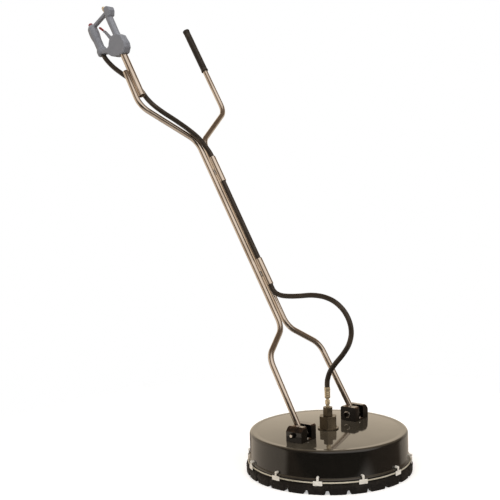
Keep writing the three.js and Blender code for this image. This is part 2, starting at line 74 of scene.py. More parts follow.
# ---------- camera ----------
def make_camera():
    """The photograph's view: a long lens, below the grips' height, tipped down and rolled slightly."""
    turn, tip, roll = math.radians(129.05), math.radians(3.902), math.radians(-1.666)
    forward = Vector((-math.sin(turn) * math.cos(tip), math.cos(turn) * math.cos(tip), -math.sin(tip)))
    right = forward.cross(Vector((0, 0, 1))).normalized()
    up = right.cross(forward)
    across = right * math.cos(roll) + up * math.sin(roll)
    above = up * math.cos(roll) - right * math.sin(roll)
    data = bpy.data.cameras.new("camera")
    data.lens, data.sensor_width = 64.79, 36
    camera = bpy.data.objects.new("camera", data)
    bpy.context.scene.collection.objects.link(camera)
    camera.matrix_world = Matrix((across, above, -forward)).transposed().to_4x4()
    camera.location = (2.3709, 1.6197, 0.9087)
    bpy.context.scene.camera = camera
    return forward, right


VIEW_FORWARD, VIEW_RIGHT = make_camera()


# ---------- materials ----------
class Look:
    """A procedural material: a Principled shader with helpers for the nodes that drive it."""

    def __init__(self, name, **sockets):
        self.material = bpy.data.materials.new(name)
        self.material.use_nodes = True
        self.tree = self.material.node_tree
        self.shader = self.tree.nodes["Principled BSDF"]
        for socket, value in sockets.items():
            self.shader.inputs[socket.replace("_", " ")].default_value = value
        self.height = None

    def node(self, kind, **settings):
        made = self.tree.nodes.new(kind)
        for key, value in settings.items():
            setattr(made, key, value)
        return made

    def feed(self, socket, value):
        if hasattr(value, "is_linked"):
            self.tree.links.new(value, socket)
        else:
            socket.default_value = value

    def place(self, scale=(1, 1, 1), turn=(0, 0, 0), by="Object"):
        mapping = self.node("ShaderNodeMapping")
        self.feed(mapping.inputs["Vector"], self.node("ShaderNodeTexCoord").outputs[by])
        mapping.inputs["Scale"].default_value = scale
        mapping.inputs["Rotation"].default_value = turn
        return mapping.outputs["Vector"]

    def noise(self, scale, detail=4, place=None, distortion=0.0):
        made = self.node("ShaderNodeTexNoise")
        self.feed(made.inputs["Vector"], place or self.place())
        made.inputs["Scale"].default_value = scale
        made.inputs["Detail"].default_value = detail
        made.inputs["Distortion"].default_value = distortion
        return made.outputs["Fac"]

    def cells(self, scale, place=None):
        made = self.node("ShaderNodeTexVoronoi")
        self.feed(made.inputs["Vector"], place or self.place())
        made.inputs["Scale"].default_value = scale
        return made.outputs["Distance"]

    def bands(self, scale, place, direction="Z", distortion=0.0):
        made = self.node("ShaderNodeTexWave", wave_type="BANDS", bands_direction=direction)
        self.feed(made.inputs["Vector"], place)
        made.inputs["Scale"].default_value = scale
        made.inputs["Distortion"].default_value = distortion
        return made.outputs["Fac"]

    def spread(self, value, low, high, out_low=0.0, out_high=1.0):
        made = self.node("ShaderNodeMapRange", interpolation_type="SMOOTHSTEP")
        self.feed(made.inputs["Value"], value)
        sockets = ("From Min", "From Max", "To Min", "To Max")
        for socket, number in zip(sockets, (low, high, out_low, out_high)):
            made.inputs[socket].default_value = number
        return made.outputs["Result"]

    def sum(self, a, b, operation="ADD"):
        made = self.node("ShaderNodeMath", operation=operation)
        self.feed(made.inputs[0], a)
        self.feed(made.inputs[1], b)
        return made.outputs[0]

    def blend(self, amount, a, b):
        made = self.node("ShaderNodeMix", data_type="RGBA")
        self.feed(made.inputs["Factor"], amount)
        self.feed(made.inputs["A"], a if hasattr(a, "is_linked") else (*a, 1))
        self.feed(made.inputs["B"], b if hasattr(b, "is_linked") else (*b, 1))
        return made.outputs["Result"]

    def colour(self, value):
        self.feed(self.shader.inputs["Base Color"], value)
        return self

    def roughness(self, value):
        self.feed(self.shader.inputs["Roughness"], value)
        return self

    def bump(self, value, depth, strength=1.0):
        """Adds a layer of relief, depth metres deep."""
        made = self.node("ShaderNodeBump")
        made.inputs["Strength"].default_value = strength
        made.inputs["Distance"].default_value = depth
        self.feed(made.inputs["Height"], value)
        if self.height:
            self.feed(made.inputs["Normal"], self.height)
        self.height = made.outputs["Normal"]
        self.feed(self.shader.inputs["Normal"], self.height)
        return self


def up_facing(look):
    """1 on faces that look up, 0 on walls and undersides. The materials use it to paint light onto tops."""
    split = look.node("ShaderNodeSeparateXYZ")
    look.feed(split.inputs[0], look.node("ShaderNodeNewGeometry").outputs["Normal"])
    return look.spread(split.outputs["Z"], 0.4, 0.95)


def deck_gloss():
    look = Look("deck_gloss", Coat_Weight=0.5, Coat_Roughness=0.04, Specular_IOR_Level=0.5)
    level = up_facing(look)
    # Painted reflection: up-facing faces are blended towards warm brown in noisy patches, standing in for the
    # bright studio mirrored on the deck's top.
    top_light_patches = look.spread(look.noise(9, 6), 0.35, 0.75, 0.24, 0.40)
    mottle = look.blend(look.noise(38, 5), (0.0045, 0.0042, 0.0036), (0.0085, 0.0078, 0.0062))
    look.colour(look.blend(look.sum(top_light_patches, level, "MULTIPLY"), mottle, (0.17, 0.145, 0.105)))
    smears = look.spread(look.noise(14, 7, distortion=1.2), 0.35, 0.75, 0.05, 0.12)
    scuffs = look.spread(look.noise(420, 3, look.place((1, 1, 0.15))), 0.62, 0.8, 0.0, 0.10)
    look.roughness(look.sum(smears, scuffs))
    look.bump(look.noise(120, 3), 0.00012, 0.3).bump(look.noise(11, 2), 0.0006, 0.10)
    return look.material


def moulded_black():
    look = Look("moulded_black", Coat_Weight=0.5, Coat_Roughness=0.07, Specular_IOR_Level=0.5)
    # Painted light: up-facing faces turn warm brown in noisy patches, standing in for light falling on the
    # brackets' tops.
    tone_mask = look.sum(look.spread(look.noise(55, 6), 0.3, 0.75), up_facing(look), "MULTIPLY")
    look.colour(look.blend(tone_mask, (0.0025, 0.0018, 0.0015), (0.105, 0.058, 0.032)))
    look.roughness(look.spread(look.noise(70, 6, distortion=0.6), 0.3, 0.8, 0.10, 0.28))
    look.bump(look.noise(900, 4), 0.00006, 0.35).bump(look.noise(60, 3), 0.0004, 0.12)
    return look.material


def rubber(name, dark, pale, low, high, grain):
    look = Look(name, Specular_IOR_Level=0.4)
    dust = look.spread(look.noise(26, 8, distortion=0.8), 0.48, 0.78)
    look.colour(look.blend(look.sum(dust, 0.55, "MULTIPLY"), dark, pale))
    look.roughness(look.spread(look.noise(120, 5), 0.3, 0.7, low, high))
    look.bump(look.noise(grain, 5), 0.00025, 0.7).bump(look.cells(grain * 0.6), 0.00015, 0.4)
    return look.material


def hose_cover():
    """A wrapped rubber cover: fine diagonal cloth marks that run with the hose."""
    look = Look("hose_cover", Specular_IOR_Level=0.45)
    along = look.place((1, 1, 1), by="UV")
    wrap = look.bands(150, look.place((1, 1, 1), (0, 0, 0.9), by="UV"), "X", 0.4)
    weave = look.bands(150, look.place((1, 1, 1), (0, 0, -0.9), by="UV"), "X", 0.4)
    tone_mask = look.spread(look.noise(20, 6, along, 0.5), 0.45, 0.75)
    look.colour(look.blend(tone_mask, (0.026, 0.019, 0.013), (0.060, 0.044, 0.031)))
    look.roughness(look.spread(look.noise(60, 4, along), 0.3, 0.75, 0.30, 0.50))
    look.bump(look.sum(wrap, weave), 0.00012, 0.5).bump(look.noise(200, 3, along), 0.0001, 0.3)
    return look.material


def steel(name, pale, dark, low, high, lines=None, metallic=1.0):
    """Polished or brushed steel. lines is the scale of the brushing, or None for a cast or plated surface."""
    look = Look(name, Metallic=metallic)
    stains = look.spread(look.noise(12, 7, distortion=0.5), 0.35, 0.8)
    look.colour(look.blend(stains, pale, dark))
    cloud = look.spread(look.noise(35, 6), 0.3, 0.75, low, high)
    if lines:
        streaks = look.noise(1.0, 5, look.place(lines, by="UV"))
        look.roughness(look.sum(cloud, look.spread(streaks, 0.4, 0.8, 0.0, 0.10)))
        look.bump(streaks, 0.00002, 0.15)
    else:
        specks = look.noise(480, 4)
        look.roughness(look.sum(cloud, look.spread(specks, 0.5, 0.8, 0.0, 0.12)))
        look.bump(specks, 0.00006, 0.4)
    return look.material


def gun_plastic(name, dark, pale):
    """Glass-filled nylon with a fine moulded grain, rubbed a little smoother in places."""
    look = Look(name, Specular_IOR_Level=0.45)
    look.colour(look.blend(look.noise(45, 7, distortion=0.3), dark, pale))
    look.roughness(look.spread(look.noise(30, 5), 0.35, 0.75, 0.38, 0.60))
    look.bump(look.cells(1300), 0.00005, 0.22).bump(look.noise(90, 3), 0.0003, 0.10)
    return look.material


TUBE_STEEL = steel("tube_steel", (0.76, 0.68, 0.60), (0.58, 0.50, 0.42), 0.17, 0.26, (260, 3, 1))
PLATED_STEEL = steel("plated_steel", (0.86, 0.83, 0.78), (0.60, 0.56, 0.50), 0.20, 0.34)
ZINC = steel("bright_zinc", (0.88, 0.86, 0.80), (0.66, 0.63, 0.56), 0.34, 0.48, metallic=0.25)
BAND_ZINC = steel("band_zinc", (0.74, 0.70, 0.58), (0.52, 0.48, 0.38), 0.30, 0.44, metallic=0.4)
BLACK_OXIDE = steel("black_oxide", (0.030, 0.026, 0.023), (0.014, 0.012, 0.010), 0.22, 0.36)
DULL_STEEL = steel("dull_steel", (0.55, 0.52, 0.48), (0.34, 0.31, 0.28), 0.30, 0.46)
BRONZE = steel("dark_bronze", (0.150, 0.120, 0.080), (0.065, 0.052, 0.036), 0.18, 0.32, metallic=0.85)
BRASS = steel("worn_brass", (0.80, 0.67, 0.45), (0.50, 0.41, 0.27), 0.22, 0.36, metallic=0.7)
DECK_GLOSS = deck_gloss()
MOULDED_BLACK = moulded_black()
SKIRT_RUBBER = rubber("skirt_rubber", (0.006, 0.0045, 0.0035), (0.024, 0.018, 0.013), 0.55, 0.80, 700)
GRIP_RUBBER = rubber("grip_rubber", (0.020, 0.015, 0.011), (0.075, 0.058, 0.043), 0.36, 0.58, 1100)
HOSE_COVER = hose_cover()
GUN_GREY = gun_plastic("gun_grey", (0.205, 0.218, 0.250), (0.262, 0.276, 0.310))
RED_PLASTIC = gun_plastic("red_plastic", (0.20, 0.016, 0.020), (0.32, 0.030, 0.034))


# ---------- mesh helpers ----------
def piece_of(name, mesh, material, body, node_names, smooth=35):
    """Makes a shown piece of a finished mesh. It rides on body and stands for the CAD nodes named."""
    mesh.materials.clear()
    mesh.materials.append(material)
    mesh.shade_smooth()
    mesh.set_sharp_from_angle(angle=math.radians(smooth))
    piece = bpy.data.objects.new(name, mesh)
    bpy.context.scene.collection.objects.link(piece)
    if body:
        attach(piece, body)
    if node_names:
        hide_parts(*node_names)
    return piece


def mesh_of(name, points, faces, uvs=None, transform=IDENTITY):
    """A mesh of points in millimetres. uvs holds one pair for each corner of each face, in metres."""
    mesh = bpy.data.meshes.new(name)
    mesh.from_pydata([transform @ (Vector(p) * MM) for p in points], [], faces)
    if uvs:
        layer = mesh.uv_layers.new(name="UVMap")
        layer.data.foreach_set("uv", [c for pair in uvs for c in pair])
    mesh.update()
    return mesh


def rounded(outline, radius, steps=4, closed=True):
    """The outline with each corner rounded, by less where its sides are short. A corner may carry its own
    radius."""
    result = []
    count = len(outline)
    for i, corner in enumerate(outline):
        own = corner[2] if len(corner) > 2 else radius
        here = Vector(corner[:2])
        if not closed and i in (0, count - 1):
            result.append(tuple(here))
            continue
        back = Vector(outline[i - 1][:2]) - here
        ahead = Vector(outline[(i + 1) % count][:2]) - here
        angle = back.angle(ahead, math.pi)
        if own <= 0 or angle > math.radians(176):
            result.append(tuple(here))
            continue
        reach = min(own / math.tan(angle / 2), 0.45 * back.length, 0.45 * ahead.length)
        start, end = here + back.normalized() * reach, here + ahead.normalized() * reach
        for k in range(steps + 1):
            t = k / steps
            result.append(tuple(start.lerp(here, t).lerp(here.lerp(end, t), t)))
    return result


def turned(name, outline, segments=64, transform=IDENTITY, shape=None):
    """A mesh turned about Z from a closed outline of [radius, height]. Points at radius 0 close on the axis.
    shape(angle, radius, height) may give a point another radius and height."""
    points, faces, uvs = [], [], []
    ring_of = []
    lengths = [0.0]
    for a, b in zip(outline, outline[1:]):
        lengths.append(lengths[-1] + math.dist(a, b))
    for r, z in outline:
        if r < 1e-6:
            ring_of.append([len(points)] * segments)
            points.append((0, 0, z))
            continue
        ring_of.append(list(range(len(points), len(points) + segments)))
        for k in range(segments):
            angle = 2 * math.pi * k / segments
            radius, height = shape(angle, r, z) if shape else (r, z)
            points.append((radius * math.cos(angle), radius * math.sin(angle), height))
    area = sum(a[0] * b[1] - b[0] * a[1] for a, b in zip(outline, outline[1:] + outline[:1]))
    pairs = list(zip(range(len(outline)), list(range(1, len(outline))) + [0]))
    for i, j in pairs:
        if outline[i][0] < 1e-6 and outline[j][0] < 1e-6:
            continue
        width = 2 * math.pi * max(outline[i][0], outline[j][0]) * MM
        v0, v1 = lengths[i] * MM, (lengths[j] if j else lengths[i] + math.dist(outline[i], outline[0])) * MM
        for k in range(segments):
            n = (k + 1) % segments
            quad = [ring_of[i][k], ring_of[i][n], ring_of[j][n], ring_of[j][k]]
            u0, u1 = width * k / segments, width * (k + 1) / segments
            pair = [(u0, v0), (u1, v0), (u1, v1), (u0, v1)]
            corner = [c for c in range(4) if quad[c] not in quad[:c]]
            quad, pair = [quad[c] for c in corner], [pair[c] for c in corner]
            if area < 0:
                quad.reverse()
                pair.reverse()
            faces.append(quad)
            uvs.extend(pair)
    return mesh_of(name, points, faces, uvs, transform)


def bent_path(corners, bend, step=math.radians(4)):
    """Points along straight runs that are joined by round bends."""
    at = [Vector(c) for c in corners]
    path = [at[0]]
    for before, here, after in zip(at, at[1:], at[2:]):
        back, on = (before - here).normalized(), (after - here).normalized()
        turn = math.pi - back.angle(on)
        if turn < 0.02:
            continue
        centre = here + (back + on).normalized() * bend / math.cos(turn / 2)
        spoke = here + back * bend * math.tan(turn / 2) - centre
        axis = on.cross(back).normalized()
        count = max(3, math.ceil(turn / step))
        for k in range(count + 1):
            path.append(centre + Matrix.Rotation(turn * k / count, 3, axis) @ spoke)
    return path + [at[-1]]


def spline(points, count):
    """count + 1 points, evenly spaced along a centripetal Catmull-Rom curve through the points."""
    at = [Vector(p) for p in points]
    at = [at[0] * 2 - at[1], *at, at[-1] * 2 - at[-2]]
    fine = []
    for p0, p1, p2, p3 in zip(at, at[1:], at[2:], at[3:]):
        d0, d1, d2 = ((b - a).length ** 0.5 for a, b in ((p0, p1), (p1, p2), (p2, p3)))
        t1 = ((p1 - p0) / d0 - (p2 - p0) / (d0 + d1) + (p2 - p1) / d1) * d1
        t2 = ((p2 - p1) / d1 - (p3 - p1) / (d1 + d2) + (p3 - p2) / d2) * d1
        for k in range(24):
            t = k / 24
            a, b = 2 * t**3 - 3 * t**2 + 1, t**3 - 2 * t**2 + t
            c, d = -2 * t**3 + 3 * t**2, t**3 - t**2
            fine.append(p1 * a + t1 * b + p2 * c + t2 * d)
    fine.append(at[-2])
    along = np.concatenate([[0], np.cumsum([(b - a).length for a, b in zip(fine, fine[1:])])])
    wanted = np.linspace(0, along[-1], count + 1)
    return [Vector([np.interp(w, along, [p[i] for p in fine]) for i in range(3)]) for w in wanted]


def swept(name, path, profile, sides=28, transform=IDENTITY):
    """A round piece along a path. profile lists [place along the path from 0 to 1, radius], and may turn back
    inside to make a bore. It is closed at both ends."""
    lengths = np.concatenate([[0], np.cumsum([(b - a).length for a, b in zip(path, path[1:])])])
    total = lengths[-1]

    def at(place):
        s = min(max(place, 0), 1) * total
        i = min(int(np.searchsorted(lengths, s, side="right")) - 1, len(path) - 2)
        t = (s - lengths[i]) / max(lengths[i + 1] - lengths[i], 1e-9)
        return path[i].lerp(path[i + 1], t), i, t

    last_point = len(path) - 1
    tangents = [(path[min(i + 1, last_point)] - path[max(i - 1, 0)]).normalized() for i in range(len(path))]
    normals = [tangents[0].orthogonal().normalized()]
    for t0, t1 in zip(tangents, tangents[1:]):
        turned_normal = t0.rotation_difference(t1) @ normals[-1]
        normals.append((turned_normal - t1 * turned_normal.dot(t1)).normalized())
    points, faces, uvs = [], [], []
    run = 0.0
    runs = [0.0]
    for a, b in zip(profile, profile[1:]):
        run += math.hypot((b[0] - a[0]) * total, b[1] - a[1])
        runs.append(run)
    for place, radius in profile:
        centre, i, t = at(place)
        tangent = tangents[i].lerp(tangents[i + 1], t).normalized()
        normal = normals[i].lerp(normals[i + 1], t)
        normal = (normal - tangent * normal.dot(tangent)).normalized()
        side = tangent.cross(normal)
        for k in range(sides):
            a = 2 * math.pi * k / sides
            points.append(centre + (normal * math.cos(a) + side * math.sin(a)) * radius)
    around = 2 * math.pi * max(r for _, r in profile) * MM
    for j in range(len(profile) - 1):
        for k in range(sides):
            n = (k + 1) % sides
            faces.append([j * sides + k, j * sides + n, (j + 1) * sides + n, (j + 1) * sides + k])
            u0, u1, v0, v1 = around * k / sides, around * (k + 1) / sides, runs[j] * MM, runs[j + 1] * MM
            uvs.extend([(u0, v0), (u1, v0), (u1, v1), (u0, v1)])
    last = (len(profile) - 1) * sides
    faces.append(list(range(sides - 1, -1, -1)))
    faces.append(list(range(last, last + sides)))
    uvs.extend([(0, 0)] * (2 * sides))
    return mesh_of(name, points, faces, uvs, transform)


def plate(name, outline, x0, x1, edge=1.0, steps=3, transform=IDENTITY):
    """A plate in the YZ plane between x0 and x1 with rounded edges. Its outline is [y, z], anticlockwise."""
    bm = bmesh.new()
    low = [bm.verts.new((x0, y, z)) for y, z in outline]
    face = bm.faces.new(low)
    made = bmesh.ops.extrude_face_region(bm, geom=[face])
    for v in (g for g in made["geom"] if isinstance(g, bmesh.types.BMVert)):
        v.co.x = x1
    rims = [e for e in bm.edges if abs(e.verts[0].co.x - e.verts[1].co.x) < 1e-6]
    if edge > 0:
        bmesh.ops.bevel(
            bm, geom=rims, offset=edge, segments=steps, profile=0.5, affect="EDGES", clamp_overlap=True
        )
    bmesh.ops.recalc_face_normals(bm, faces=bm.faces)
    bmesh.ops.scale(bm, vec=(MM, MM, MM), verts=bm.verts)
    bmesh.ops.transform(bm, matrix=transform, verts=bm.verts)
    mesh = bpy.data.meshes.new(name)
    bm.to_mesh(mesh)
    bm.free()
    return mesh


def joined(name, meshes):
    """One mesh of several."""
    bm = bmesh.new()
    for mesh in meshes:
        bm.from_mesh(mesh)
    made = bpy.data.meshes.new(name)
    bm.to_mesh(made)
    bm.free()
    return made


def apply_modifiers(piece):
    """The piece's mesh with its modifiers applied."""
    evaluated = piece.evaluated_get(bpy.context.evaluated_depsgraph_get())
    mesh = bpy.data.meshes.new_from_object(evaluated)
    piece.modifiers.clear()
    return mesh


def refined(node, body, material, edge=0.5, smooth=35):
    """A copy of a CAD node with its flat faces merged and its edges rounded."""
    bm = bmesh.new()
    bm.from_mesh(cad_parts[node].data)
    bmesh.ops.remove_doubles(bm, verts=bm.verts, dist=1e-5)
    bmesh.ops.dissolve_limit(bm, angle_limit=math.radians(1), verts=bm.verts, edges=bm.edges)
    mesh = bpy.data.meshes.new(node + "_look")
    bm.to_mesh(mesh)
    bm.free()
    piece = piece_of(node + "_look", mesh, material, body, [node], smooth)
    if edge:
        rounding = piece.modifiers.new("rounding", "BEVEL")
        rounding.width = edge * MM
        rounding.segments = 2
        rounding.limit_method = "ANGLE"
        rounding.angle_limit = math.radians(40)
        rounding.harden_normals = True
    return piece


# ---------- deck ----------
def arc(cx, cy, radius, start, end, steps):
    angles = [math.radians(start + (end - start) * k / steps) for k in range(steps + 1)]
    return [(cx + radius * math.cos(a), cy + radius * math.sin(a)) for a in angles]


hood_outline = [
    (SPIGOT_HOLE_R, DECK_TOP),
    (228, DECK_TOP),
    (232, DECK_TOP - 0.5),
    (236, DECK_TOP - 0.2),
    *arc(DECK_R - DECK_RIM, DECK_TOP - DECK_RIM, DECK_RIM, 90, 0, 14),
    (DECK_R, LIP_Z + 7.5),
    (DECK_R + 0.5, LIP_Z + 6),
    (LIP_R - 1, LIP_Z + 3),
    (LIP_R, LIP_Z + 1.5),
    (LIP_R - 0.4, LIP_Z),
    (LIP_R - DECK_SHEET, LIP_Z),
    (DECK_R - DECK_SHEET, LIP_Z + 6.2),
    *arc(DECK_R - DECK_RIM, DECK_TOP - DECK_RIM, DECK_RIM - DECK_SHEET, 0, 90, 8),
    (SPIGOT_HOLE_R, DECK_TOP - DECK_SHEET),
]
piece_of("hood", turned("hood", hood_outline, 224), DECK_GLOSS, "deck", ["deck_shell"])

skirt_outline = rounded(
    [
        (242, 62),
        (250.7, 62),
        (250.7, LIP_Z - 0.3, 0),
        (257.5, LIP_Z - 0.3),
        (257.5, BAND_Z - 4),
        (266.2, 24.5, 3),
        (267.9, 18, 3),
        (266.4, 13.5),
        (267.2, 8),
        (266.6, 0, 1.6),
        (248, 0, 1.6),
    ],
    1.0,
    3,
)


def notched(angle, radius, z):
    """Raises the skirt's foot into a gap between each pair of blocks, with a groove above it in the outer
    wall."""
    pitch = 2 * math.pi / SKIRT_BLOCKS
    offset = (angle - SKIRT_PHASE + pitch / 2) % pitch - pitch / 2
    inside = min(max((7.5 - abs(offset) * 257) / 3.5, 0), 1)
    groove = 2.6 * inside if radius > 262 else 0
    return radius - groove, max(z, NOTCH_TOP * inside) if z < 14 else z


piece_of(
    "skirt_ring",
    turned("skirt_ring", skirt_outline, 26 * 30, shape=notched),
    SKIRT_RUBBER,
    "deck",
    ["skirt"],
    50,
)
band_outline = arc(BAND_R, BAND_Z, BAND_WIRE_R, 0, 330, 11)
piece_of("band_wire", turned("band_wire", band_outline, 200), BAND_ZINC, "deck", ["skirt_band"])


def clip_mesh(angle):
    """A folded plate over the band, with its riveted tab and the rivet's domed head."""
    turn = Matrix.Rotation(angle, 4, "Z")
    inner = BAND_R + BAND_WIRE_R + 0.3
    face = rounded([(-14, BAND_Z - 8), (14, BAND_Z - 8), (14, BAND_Z + 6), (-14, BAND_Z + 6)], 2.2, 4)
    tab = rounded([(-3.5, BAND_Z + 4), (3.5, BAND_Z + 4), (3.5, BAND_Z + 18), (-3.5, BAND_Z + 18)], 2.0, 4)
    head = [(0, 9.7), (1.6, 9.55), (3.0, 8.9), (3.9, 7.6), (4, 6.4), (4, 0), (0, 0)]
    outward = Matrix.Rotation(math.pi / 2, 4, "Y")
    seat = turn @ Matrix.Translation(Vector((254.5, 0, BAND_Z + 15.5)) * MM) @ outward
    return joined(
        "clip",
        [
            plate("clip_face", face, inner, inner + 2.6, 0.9, 3, turn),
            plate("clip_tab", tab, inner, inner + 2.4, 0.6, 2, turn),
            turned("rivet", head, 24, seat @ Matrix.Scale(1.28, 4, (0, 0, 1))),
        ],
    )


for number in range(CLIPS):
    angle = CLIP_PHASE + number * 2 * math.pi / CLIPS
    name = f"{number + 1:02d}"
    piece_of(f"band_clip_{name}", clip_mesh(angle), ZINC, "deck", [f"skirt_clip_{name}"])

# ---------- swivel ----------
for node in ("swivel_body", "swivel_cap"):
    refined(node, "deck", BRONZE, 1.0)
refined("hose_fitting_lower", "deck", BRASS, 0.5)
for node in ("deck_plate", "swivel_nut", "bearing_upper", "bearing_lower"):
    refined(node, "deck", DULL_STEEL, 0.5)
refined("shaft_seal", "deck", GRIP_RUBBER, 0.3)


def ferrule(name, length, transform):
    """A crimped sleeve: flared mouth, three pressed rings and a stepped tail. It starts at its fitting."""
    outline = [(0, 0), (8, 0), (9.2, 2.5), (9.4, 4)]
    for k in range(3):
        z = 7 + k * (length - 16) / 3
        outline += [(9.4, z), (8.5, z + 1), (8.5, z + 3.2), (9.4, z + 4.2)]
    outline += [(9.4, length - 3), (9.1, length - 0.6), (8.7, length), (0, length)]
    return turned(name, rounded(outline, 0.4, 2, closed=False), 40, transform)


lower_seat = Matrix.Translation((0, 0, 0.2283))
piece_of("ferrule_low", ferrule("ferrule_low", 35.7, lower_seat), BRASS, "deck", ["hose_ferrule_lower"])
hose_head = Matrix.Translation(Vector((GUN_X, BARREL_Y, HOSE_TOP + 34)) * MM)
upper_seat = HANDLE @ hose_head @ Matrix.Rotation(math.pi, 4, "X")
piece_of("ferrule_high", ferrule("ferrule_high", 34, upper_seat), BRASS, "handle", ["hose_ferrule_upper"])

# ---------- spray bar ----------
for node in ("swivel_shaft", "rotor_hub", "rotor_arm_a", "rotor_arm_b"):
    refined(node, "rotor", PLATED_STEEL, 0.6)
for node in ("nozzle_a", "nozzle_b"):
    refined(node, "rotor", BRASS, 0.3)

# ---------- pivots ----------
BOLT_HEAD_X = 0.1115  # the washer's inner face


def repaint(piece, material, where):
    """Gives the faces whose centres pass the test another material."""
    piece.data.materials.append(material)
    for face in piece.data.polygons:
        if where(face.center):
            face.material_index = len(piece.data.materials) - 1


for side in ("right", "left"):
    refined(f"bracket_{side}", "deck", MOULDED_BLACK, 1.6)
    bolt = refined(f"pivot_bolt_{side}", "deck", PLATED_STEEL, 0.7)
    repaint(bolt, BLACK_OXIDE, lambda at: abs(at.x) < BOLT_HEAD_X)
    refined(f"pivot_nut_{side}", "deck", BLACK_OXIDE, 0.6)
    for end in ("rear", "front"):
        refined(f"bracket_screw_{side}_{end}", "deck", PLATED_STEEL, 0.5)

# ---------- handle tubes ----------
for name, (side, knee, top, end) in HANDS.items():
    riser = knee + (top - knee) * (end - KNEE) / (GRIP_END - KNEE)
    corners = [(150, 0, -12), (141, 0, 255), (15, 0, 340), (15, 0, 1062), (knee, 0, KNEE), (riser, 0, end)]
    path = bent_path([(side * x, y, z) for x, y, z in corners], TUBE_BEND)
    total = sum((b - a).length for a, b in zip(path, path[1:]))
    stations = np.concatenate([[0], np.cumsum([(b - a).length for a, b in zip(path, path[1:])])]) / total
    lip, depth = 0.8 / total, 60 / total
    outside = [[float(s), TUBE_R] for s in stations if lip < s < 1 - lip]
    profile = [[depth, TUBE_BORE], [0.0, TUBE_BORE], [0.0, TUBE_R - 0.5], [lip, TUBE_R], *outside]
    profile += [[1 - lip, TUBE_R], [1.0, TUBE_R - 0.5], [1.0, TUBE_BORE], [1 - depth, TUBE_BORE]]
    mesh = swept(f"tube_{name}", path, profile, 40, HANDLE)
    piece_of(f"tube_{name}", mesh, TUBE_STEEL, "handle", [f"handle_tube_{name}"])

grip_x = 212 + (209 - 212) * (GRIP_START - KNEE) / (GRIP_END - KNEE)
grip_lean = math.atan2(grip_x - 209, GRIP_END - GRIP_START)
grip_seat = (
    HANDLE @ Matrix.Translation(Vector((-grip_x, 0, GRIP_START)) * MM) @ Matrix.Rotation(grip_lean, 4, "Y")
)


def grip_outline():
    """The grip: a rolled collar below, shallow rings along the hand's hold, and a domed end."""
    length = GRIP_END - GRIP_START
    outline = [(9.9, 0), (12.6, 0), (13.4, 1.4), (13.3, 4), (12.2, 7)]
    rings = 22
    for k in range(rings):
        z = 12 + k * (length - 28) / rings
        outline += [(12.4, z), (12.4, z + 3.4), (11.9, z + 4.4), (11.9, z + 5.6)]
    outline += [(12.4, length - 14), (12.4, length - 9), (13.2, length - 6), (13.1, length - 3)]
    outline += [(12.0, length - 1), (9.0, length - 0.2), (0, length), (0, length - 5), (9.9, length - 5)]
    return rounded(outline, 0.5, 2)


piece_of("hand_grip", turned("hand_grip", grip_outline(), 56, grip_seat), GRIP_RUBBER, "handle", ["grip"])

# ---------- hose guides ----------
for name, z in GUIDES.items():
    low, high = z - GUIDE_LENGTH / 2, z + GUIDE_LENGTH / 2
    sleeve = rounded([(GUIDE_BORE, low), (GUIDE_R, low), (GUIDE_R, high), (GUIDE_BORE, high)], 0.8, 3)
    seat = HANDLE @ Matrix.Translation((0, HOSE_OFFSET * MM, 0))
    mesh = turned(f"guide_{name}", sleeve, 48, seat)
    piece_of(f"guide_{name}", mesh, TUBE_STEEL, "handle", [f"hose_guide_{name}"])
    refined(f"guide_tie_{name}", "handle", ZINC, 0.8)

# ---------- hose ----------
RUN_END = GUIDES["lower"] - GUIDE_LENGTH / 2 - 6
run_points = [
    (0, HOSE_OFFSET, RUN_END),
    (0, HOSE_OFFSET, 640),
    (0, HOSE_OFFSET, 840),
    (0, HOSE_OFFSET, 960),
    (0, HOSE_OFFSET, 988),
    (1.5, HOSE_OFFSET, 1004),
    (10, 20, 1029),
    (28, 22, 1060),
    (60, 23, 1092),
    (110, 23, 1131),
    (152, 21, 1163),
    (172, 13, 1195),
    (177.5, 3, 1228),
    (177.5, -5, 1262),
    (178, -13, 1293),
    (181, -27, 1326),
    (187, -47, 1364),
    (193, -65, 1403),
    (197, -76, 1438),
    (GUN_X, BARREL_Y, 1455),
    (GUN_X, BARREL_Y, HOSE_TOP - 0.3),
]


def leant(y, z):
    """A point of the handle's own frame, as it stands at rest."""
    return tuple((HANDLE @ Vector((0, y * MM, z * MM))) / MM)


loop_points = [
    leant(HOSE_OFFSET, RUN_END - 0.3),
    leant(HOSE_OFFSET, RUN_END - 8),
    (0, -208, 567),
    (0, -196, 558),
    (0, -176, 552),
    (0, -140, 551),
    (0, -100, 554),
    (0, -50, 559),
    (0, -5, 556),
    (0, 35, 543),
    (0, 69, 517),
    (0, 90, 483),
    (0, 96, 447),
    (0, 86, 410),
    (0, 62, 375),
    (0, 35, 345),
    (0, 12, 315),
    (0, 1.5, 287),
    (0, 0, 274),
    (0, 0, 264.3),
]


def hose_mesh(name, path, transform=IDENTITY):
    stations = np.linspace(0, 1, len(path))
    return swept(name, path, [[float(s), HOSE_R] for s in stations], 28, transform)


run_path = spline(run_points, 300)
run_mesh = hose_mesh("hose_along_handle", run_path, HANDLE)
piece_of("hose_along_handle", run_mesh, HOSE_COVER, "handle", ["hose_run"])
loop_path = spline(loop_points, 190)
loop = piece_of("hose_free_loop", hose_mesh("hose_free_loop", loop_path), HOSE_COVER, None, ["hose_loop"])
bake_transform(loop)


# ---------- trigger gun ----------
def about_barrel(points, transform):
    """The barrel's body, turned and then pressed a little flatter across the gun."""
    flatten = Matrix.Scale(0.85, 4, (1, 0, 0))
    return turned("barrel", rounded(points, 3, 4, closed=False), 48, transform @ flatten)


